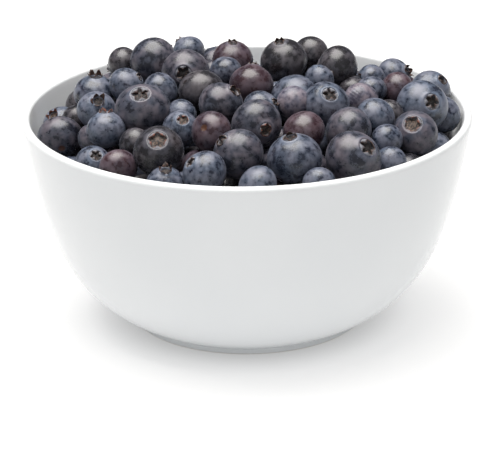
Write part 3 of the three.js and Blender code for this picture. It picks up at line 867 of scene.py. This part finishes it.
def bloom_group():
    """Shader group for the wax on a blueberry: how thickly it lies, where the stem's scar and
    the crown's basin are, its clouds and flecks by themselves, and the skin's fine relief"""
    group = bpy.data.node_groups.new("waxy_bloom", "ShaderNodeTree")
    for way, kind, names in (
        ("INPUT", "NodeSocketVector", ("Place", "Draws", "Ends")),
        ("INPUT", "NodeSocketFloat", ("Cover", "Rubbed", "Streaks")),
        ("OUTPUT", "NodeSocketFloat", ("Bloom", "Stem", "Basin", "Drift", "Flecks", "Height")),
    ):
        for name in names:
            group.interface.new_socket(name, in_out=way, socket_type=kind)
    given = group.nodes.new("NodeGroupInput").outputs
    result = group.nodes.new("NodeGroupOutput").inputs
    place = given["Place"]
    across, along, upward = split(group, place)
    berry_cover, _, berry_turn = split(group, given["Draws"])
    scar, ring, _ = split(group, given["Ends"])
    turn = times(group, berry_turn, BERRY_TURNS)
    longer = add_node(
        group, "VectorMath", {"operation": "MULTIPLY"}, _0=place, _1=STREAK_STRETCH,
    ).outputs[0]
    clouds = noise(group, place, *CLOUDS, turn)
    mottle = noise(group, place, *MOTTLE, turn)
    grain = noise(group, place, *GRAIN, turn)
    specks = noise(group, place, *SPECKS, turn)
    streaks = noise(group, longer, *STREAKS, turn)
    rubs = noise(group, place, *RUBS, added(group, turn, RUB_TURN))

    bloom = added(
        group, given["Cover"], swing(group, berry_cover, BERRY_SWING),
        swing(group, clouds, CLOUD_SWING), swing(group, mottle, MOTTLE_SWING),
        swing(group, grain, GRAIN_SWING), swing(group, streaks, given["Streaks"]),
    )
    rubbed = times(group, ramp(group, rubs, *RUBBED_RAMP), given["Rubbed"])
    speckled = times(group, ramp(group, specks, *SPECK_RAMP), SPECK_LOSS)
    bloom = calculate(group, "SUBTRACT", bloom, added(group, rubbed, speckled))

    from_axis = add_node(group, "CombineXYZ", X=across, Y=along).outputs[0]
    reach = add_node(group, "VectorMath", {"operation": "LENGTH"}, _0=from_axis)
    reach = added(group, reach.outputs["Value"], swing(group, mottle, EDGE_SWING))
    in_ring = calculate(group, "DIVIDE", reach, ring)
    under = calculate(group, "LESS_THAN", upward, 0.0)
    over = calculate(group, "GREATER_THAN", upward, 0.0)
    stem = times(group, ramp(group, reach, *SCAR_RAMP, 1.0, 0.0), under, scar)
    basin = times(group, ramp(group, in_ring, *BASIN_RAMP, 1.0, 0.0), over)
    shoulder = calculate(
        group, "SUBTRACT", ramp(group, in_ring, *SHOULDER_RISE),
        ramp(group, in_ring, *SHOULDER_FALL),
    )
    bloom = added(group, bloom, times(group, shoulder, over, SHOULDER_WAX))
    bloom = add_node(group, "Clamp", Value=bloom).outputs[0]
    relief = added(
        group, times(group, grain, GRAIN_RELIEF), times(group, mottle, MOTTLE_RELIEF),
    )
    made = {
        "Bloom": bloom, "Stem": stem, "Basin": basin, "Drift": clouds, "Flecks": specks,
        "Height": relief,
    }
    for name, value in made.items():
        group.links.new(value, result[name])
    return group


WAXY_BLOOM = bloom_group()
BARE_GLOSS = 0.26
WAXED_GLOSS = 0.42
STEM_COLOUR = (0.075, 0.03, 0.016, 1)
BASIN_DARK = (0.016, 0.013, 0.014, 1)
BASIN_TAN = (0.15, 0.10, 0.072, 1)
BASIN_ROUGHNESS = 0.4
RUST_TAN = 0.25
TAN_RAMP = (0.58, 0.9)
DRIFT_RAMP = (0.38, 0.62)


def berry_skin(name, bare, bare_warm, waxed, waxed_warm, cover, rubbed, streaks, relief=0.12):
    """Skin of one kind of berry: two bare tones and two waxed tones, which drift into each
    other in clouds, with the waxed ones matt and the bare ones glossier"""
    material, tree = new_material(name)
    ends = read_mark(tree, "berry_ends")
    bloom = add_node(
        tree, "Group", {"node_tree": WAXY_BLOOM}, Place=read_mark(tree, "berry_place"),
        Draws=read_mark(tree, "berry_draws"), Ends=ends, Cover=cover, Rubbed=rubbed,
        Streaks=streaks,
    ).outputs
    drift = ramp(tree, bloom["Drift"], *DRIFT_RAMP)
    under = blend_colours(tree, drift, bare, bare_warm)
    over = blend_colours(tree, drift, waxed, waxed_warm)
    colour = blend_colours(tree, bloom["Bloom"], under, over)
    rust = split(tree, ends)[2]
    tan_share = added(tree, times(tree, rust, RUST_TAN), bloom["Flecks"])
    basin = blend_colours(tree, ramp(tree, tan_share, *TAN_RAMP), BASIN_DARK, BASIN_TAN)
    colour = blend_colours(tree, bloom["Basin"], colour, basin)
    colour = blend_colours(tree, bloom["Stem"], colour, STEM_COLOUR)
    gloss = ramp(tree, bloom["Bloom"], 0.0, 1.0, BARE_GLOSS, WAXED_GLOSS)
    add_surface(
        tree, Base_Color=colour, IOR=1.52, Sheen_Weight=0.08, Sheen_Roughness=0.4,
        Sheen_Tint=(0.75, 0.82, 1.0, 1), Normal=bumped(tree, bloom["Height"], relief, depth=0.0006),
        Roughness=added(tree, gloss, times(tree, bloom["Basin"], BASIN_ROUGHNESS)),
    )
    return material


SKINS = {
    "blue": berry_skin(
        "blue_bloomed_skin", (0.014, 0.018, 0.032, 1), (0.022, 0.019, 0.032, 1),
        (0.115, 0.145, 0.205, 1), (0.135, 0.145, 0.19, 1),
        cover=0.60, rubbed=0.6, streaks=0.7,
    ),
    "slate": berry_skin(
        "slate_bloomed_skin", (0.013, 0.014, 0.022, 1), (0.024, 0.019, 0.026, 1),
        (0.085, 0.098, 0.137, 1), (0.113, 0.10, 0.122, 1),
        cover=0.50, rubbed=0.6, streaks=0.4,
    ),
    "dark": berry_skin(
        "dark_rubbed_skin", (0.014, 0.013, 0.016, 1), (0.022, 0.016, 0.016, 1),
        (0.08, 0.081, 0.102, 1), (0.09, 0.082, 0.094, 1),
        cover=0.37, rubbed=0.5, streaks=0.3,
    ),
    "plum": berry_skin(
        "plum_skin", (0.03, 0.014, 0.02, 1), (0.05, 0.02, 0.022, 1),
        (0.088, 0.084, 0.115, 1), (0.106, 0.076, 0.094, 1),
        cover=0.39, rubbed=0.5, streaks=0.4,
    ),
    "pale": berry_skin(
        "pale_wrinkled_skin", (0.05, 0.045, 0.07, 1), (0.07, 0.05, 0.065, 1),
        (0.17, 0.175, 0.23, 1), (0.20, 0.17, 0.20, 1),
        cover=0.60, rubbed=0.35, streaks=0.9, relief=0.3,
    ),
}

# Kinds of the berries behind and inside the heap, which the view from the front doesn't
# show: mostly blue and slate, as in front
HIDDEN_KINDS = ("blue", "blue", "slate", "blue", "dark", "slate", "plum", "blue")
KINDS = np.array(
    [row[4] for row in SHOWING]
    + [HIDDEN_KINDS[index % len(HIDDEN_KINDS)] for index in range(TOP_BERRIES - len(SHOWING))]
)

for kind in ("blue", "slate", "dark", "plum"):
    make_berries(f"{kind}_blueberries", np.flatnonzero(KINDS == kind), SKINS[kind])
make_berries(
    "pale_blueberries", np.flatnonzero(KINDS == "pale"), SKINS["pale"],
    sectors=WRINKLED_SECTORS, ribs=RIB_HEIGHT,
)

# The berries under the top ones show only through the gaps, so they are plainer
make_berries(
    "lower_blueberries", np.arange(TOP_BERRIES, len(RADII)), SKINS["slate"],
    angles=np.linspace(0, np.pi, 17)[1:-1], sectors=24,
)


# The crowns: the dry remains of the flower, five leathery lobes on the ring at the end of
# each berry. They stand, lean out or curl in, with dark ragged tips and paler feet.
CROWN_LOBES = 5
CROWN_SECTORS = 55
LOBE_STEPS = 6
LOBE_FOOT = 0.03
LOBE_HEIGHT = 0.17
LOBE_SPREAD = 0.4
WANDER_SHARE = 0.8
LOBE_SHARPNESS = 0.75
LOBE_THICKNESS = 0.05
TIP_THICKNESS = 0.016
FOOT_BEND = 0.35
TIP_BEND = 1.1
FOOT_SUNK = 0.04
FOOT_INSET = 0.92
FOOT_ON_RING = 0.3
OPEN_SPREAD = 0.2
LEAN_SPREAD = 0.45
LEAN_SHARE = 0.7
RAGGEDNESS = 0.07
RAGGED_WAVES = (17, 23)


def crown_points(chosen):
    """Points of the chosen crowns in their berries' own frames. Round the ring, the lobes'
    length is a power of a squared cosine with five peaks, uneven by slow and ragged waves.
    Along a lobe, the skin bends ever more towards the lean, and its two faces stand off the
    middle by half a thickness that falls towards the tip. Each point is marked with how far
    along the lobe it is, its face and its crown's rust"""
    count = len(chosen)
    turn = all_round(CROWN_SECTORS)
    phases = random.uniform(0, 2 * np.pi, (count, 6, 1))
    wander = np.sin(turn + phases[:, 0]) + WANDER_SHARE * np.sin(2 * turn + phases[:, 1])
    ragged = sum(
        np.sin(wave * turn + phases[:, 2 + index]) for index, wave in enumerate(RAGGED_WAVES))
    peaks = np.cos(CROWN_LOBES * turn / 2) ** 2
    full = LOBE_HEIGHT * FORMS[chosen, 1:2]
    length = LOBE_FOOT + full * peaks ** LOBE_SHARPNESS * (1 + LOBE_SPREAD * wander / 2)
    length = np.maximum(LOBE_FOOT, length + RAGGEDNESS * full * ragged * peaks)
    openness = FORMS[chosen, :1] + OPEN_SPREAD * random.uniform(-1, 1, (count, 1))
    sway = np.sin(turn + phases[:, 4]) + LEAN_SHARE * np.sin(2 * turn + phases[:, 5])
    lean = openness + LEAN_SPREAD * sway / (1 + LEAN_SHARE)

    share = np.linspace(0, 1, LOBE_STEPS)
    side = np.concatenate([np.ones(LOBE_STEPS), -np.ones(LOBE_STEPS)])
    share = np.concatenate([share, share[::-1]])
    bend = lean[..., None] * (FOOT_BEND + (TIP_BEND - FOOT_BEND) * share)
    ring = RINGS[chosen, None, None]
    foot = FLATNESS[chosen, None, None] * np.sqrt(1 - ring ** 2) + FOOT_ON_RING * RING_RISE
    thickness = LOBE_THICKNESS + (TIP_THICKNESS - LOBE_THICKNESS) * share
    reach = ring * FOOT_INSET + length[..., None] * share * np.sin(bend)
    height = foot - FOOT_SUNK + (length[..., None] + FOOT_SUNK) * share * np.cos(bend)
    reach = reach + side * thickness / 2 * np.cos(bend)
    height = height - side * thickness / 2 * np.sin(bend)
    own = around(reach, turn[:, None], height) * OVALS[chosen, None, None]
    marks = np.zeros(own.shape)
    marks[..., 0] = share
    marks[..., 1] = side
    marks[..., 2] = FORMS[chosen, 3][:, None, None]
    return own.reshape(count, -1, 3), marks.reshape(count, -1, 3)


def ring_faces(sectors, steps):
    """Corner numbers of a closed ring: its section's steps go round, and so do its sectors"""
    sector, step = np.mgrid[0:sectors, 0:steps]
    onward, above = (sector + 1) % sectors, (step + 1) % steps
    return np.stack([
        sector * steps + step, onward * steps + step,
        onward * steps + above, sector * steps + above,
    ], axis=-1).reshape(-1, 4)


CROWN_PALE = (0.17, 0.175, 0.2, 1)
CROWN_BROWN = (0.028, 0.019, 0.016, 1)
CROWN_RUST = (0.2, 0.055, 0.03, 1)
CROWN_TAN = (0.2, 0.14, 0.105, 1)
PATCH_NOISE = (9.0, 4.0, 0.65)
PATCH_TURNS = 30.0
PATCH_SWING = 0.9
RUST_RAMP = (0.4, 0.62)
DRY_TAN_RAMP = (0.56, 0.7)
WAXED_RAMP = (0.35, 0.95)
FACE_RAMP = (-0.2, 0.2)


def crown_skin():
    """Dry skin of the lobes: waxed and pale outside from the foot up, near black at the tips
    and within, and tan to rust in ragged patches"""
    material, tree = new_material("dry_crown_lobes")
    along, face, rust = split(tree, read_mark(tree, "crown_marks"))
    patches = noise(
        tree, read_mark(tree, "berry_place"), *PATCH_NOISE, times(tree, rust, PATCH_TURNS))
    along = added(tree, along, swing(tree, patches, PATCH_SWING))
    rusty = times(tree, ramp(tree, patches, *RUST_RAMP), rust)
    brown = blend_colours(tree, rusty, CROWN_BROWN, CROWN_RUST)
    inside = blend_colours(tree, ramp(tree, patches, *DRY_TAN_RAMP), brown, CROWN_TAN)
    waxed = blend_colours(tree, ramp(tree, along, *WAXED_RAMP), CROWN_PALE, brown)
    add_surface(
        tree, Base_Color=blend_colours(tree, ramp(tree, face, *FACE_RAMP), inside, waxed),
        Roughness=0.6, Normal=bumped(tree, patches, strength=0.4, depth=0.0004),
    )
    return material


def make_crowns():
    """Every crown of the heap's top, in one mesh"""
    chosen = np.arange(TOP_BERRIES)
    own, marks = crown_points(chosen)
    make_piece(
        "blueberry_crowns", placed_points(own, chosen), [ring_faces(CROWN_SECTORS, 2 * LOBE_STEPS)],
        crown_skin(), crown_marks=marks, berry_place=own,
    )


make_crowns()


# The middle of the heap: the berries that nothing shows, packed down in the bowl.
# They are one dark body that fills it, with the rounds of its top berries on it. The dark
# rubbed skin is a real kind of berry, but giving it to all of them paints shade into the
# deep gaps between the top berries.
PACKED_UNDER = 0.0145
PACKED_CLEARANCE = 0.0006
PACKED_SECTORS = 264
PACKED_RINGS = 72
PACKED_RADIUS = 0.0066
PACKED_SPACING = 0.0122
PACKED_WARP = 0.0016
PACKED_WAVES = (110, 90)
PACKED_FOOT = 0.02
PACKED_EDGE = 0.84
PACKED_SIDES = 24
EDGE_SHARE = 0.12
PACKED_SKIN_SCALE = 100


def packed_rounds(x, y):
    """Height of round berry tops in rows that lie half a berry off each other: the root of
    the berry's squared radius less the squared distance to the nearer of the nearest middles
    of the two sets of rows. The rows are bent by a slow wave"""
    x = x + PACKED_WARP * np.sin(PACKED_WAVES[0] * y + 1)
    y = y + PACKED_WARP * np.sin(PACKED_WAVES[1] * x + 2)
    row_height = PACKED_SPACING * np.sqrt(3)
    nearest = np.full(x.shape, np.inf)
    for shift in (0, 0.5):
        across = x / PACKED_SPACING - shift
        along = y / row_height - shift
        gap_x = (across - np.round(across)) * PACKED_SPACING
        gap_y = (along - np.round(along)) * row_height
        nearest = np.minimum(nearest, gap_x ** 2 + gap_y ** 2)
    return np.sqrt(np.maximum(0, PACKED_RADIUS ** 2 - nearest))


def make_packed_berries():
    """A turned body that follows the bowl's inner wall. Its top lies under the heap's level,
    with the berries' rounds on it, and comes down to the wall's top ring by a smooth step"""
    lowest = [0, 0, FLOOR_HEIGHT + PACKED_CLEARANCE]
    wall, inward = inner_wall(np.linspace(PACKED_FOOT, PACKED_EDGE, PACKED_SIDES))
    wall = (wall + inward * PACKED_CLEARANCE)[::-1]
    angles = all_round(PACKED_SECTORS)
    reach = wall[0, 0] * np.linspace(0, 1, PACKED_RINGS)[1:-1, None]
    x, y = reach * np.cos(angles), reach * np.sin(angles)
    ease = smooth_step(0, EDGE_SHARE, 1 - reach / wall[0, 0])
    level = heap_level(x, y) - PACKED_UNDER + packed_rounds(x, y)
    top = wall[0, 1] + (level - wall[0, 1]) * ease
    rings = np.concatenate([around(reach, angles, top), around(wall[:, :1], angles, wall[:, 1:])])
    crest = [0, 0, heap_level(0.0, 0.0) - PACKED_UNDER]
    points = np.vstack([[crest], rings.reshape(-1, 3), [lowest]])
    # The dark rubbed skin on all of it is partly painted shade for the deep gaps
    make_piece(
        "packed_blueberries", points[None], turned_faces(len(rings), PACKED_SECTORS),
        SKINS["dark"], berry_place=points * PACKED_SKIN_SCALE, berry_draws=0.5,
        berry_ends=(0, RING_RADIUS, 0),
    )


make_packed_berries()


# The table and the light: a plain white table of the kind that glows from below, under one
# wide soft lamp overhead and a dim pale room all round. They aren't part of the bowl.
# Round the bowl's foot the table's glow is turned down: a painted shadow of the bowl.
TABLE_SIZE = 6.0
TABLE_TONE = (0.38, 0.38, 0.38, 1)
TABLE_GLOW = 0.62
# The lower glow under and round the foot, out to where it rises to the full glow, paints the bowl's
# shadow on the table
PAINTED_SHADOW_GLOW = 0.33
PAINTED_SHADOW_INNER_REACH = 0.037
PAINTED_SHADOW_OUTER_REACH = 0.058
LAMP_SIZE = 1.0
LAMP_POWER = 26.0
LAMP_PLACE = (-0.1, 0.08, 1.1)
LAMP_TARGET = (0.0, 0.0, 0.05)
LAMP_COLOUR = (1.0, 0.975, 0.945)
ROOM_COLOUR = (0.97, 0.985, 1.0, 1)
ROOM_LIGHT = 0.09
FRONT_LIGHT = 0.28
FRONT_WAY = (0.0, -0.93, 0.37)
FRONT_FROM = -0.2


def make_table():
    """One flat square at the height of the foot ring. Its glow is turned down near the bowl's
    foot, a painted shadow, and grows back by a smooth step of the distance from the bowl's foot"""
    half = TABLE_SIZE / 2
    mesh = bpy.data.meshes.new("table")
    corners = [(-half, -half, 0), (half, -half, 0), (half, half, 0), (-half, half, 0)]
    mesh.from_pydata(corners, [], [(0, 1, 2, 3)])
    material, tree = new_material("matt_white_table")
    place = add_node(tree, "TexCoord").outputs["Object"]
    away = add_node(tree, "VectorMath", {"operation": "LENGTH"}, _0=place)
    # The glow is lower round the foot: a painted shadow of the bowl
    glow_with_painted_shadow = ramp(tree, away.outputs["Value"], PAINTED_SHADOW_INNER_REACH, PAINTED_SHADOW_OUTER_REACH, PAINTED_SHADOW_GLOW, TABLE_GLOW)
    add_surface(
        tree, Base_Color=TABLE_TONE, Roughness=0.9, Specular_IOR_Level=0.1,
        Emission_Color=(1, 1, 1, 1), Emission_Strength=glow_with_painted_shadow,
    )
    mesh.materials.append(material)
    table = bpy.data.objects.new("table", mesh)
    scene.collection.objects.link(table)


def make_lights():
    """A square lamp that looks at the bowl from above, and a pale room that grows brighter
    towards the front: more by a smooth step of how near a way is to the front"""
    data = bpy.data.lights.new("soft_lamp", "AREA")
    data.size = LAMP_SIZE
    data.energy = LAMP_POWER
    data.color = LAMP_COLOUR
    lamp = bpy.data.objects.new("soft_lamp", data)
    lamp.location = LAMP_PLACE
    aim = np.array(LAMP_TARGET) - np.array(LAMP_PLACE)
    lamp.rotation_euler = (
        np.arctan2(np.hypot(aim[0], aim[1]), -aim[2]), 0, np.arctan2(aim[0], -aim[1]) + np.pi,
    )
    scene.collection.objects.link(lamp)
    world = bpy.data.worlds.new("pale_room")
    world.use_nodes = True
    tree = world.node_tree
    background = tree.nodes["Background"]
    background.inputs["Color"].default_value = ROOM_COLOUR
    way = add_node(tree, "TexCoord").outputs["Generated"]
    nearness = add_node(
        tree, "VectorMath", {"operation": "DOT_PRODUCT"}, _0=way, _1=FRONT_WAY,
    ).outputs["Value"]
    brightness = ramp(tree, nearness, FRONT_FROM, 1.0, ROOM_LIGHT, ROOM_LIGHT + FRONT_LIGHT)
    tree.links.new(brightness, background.inputs["Strength"])
    scene.world = world
    scene.view_settings.view_transform = "Standard"


make_table()
make_lights()
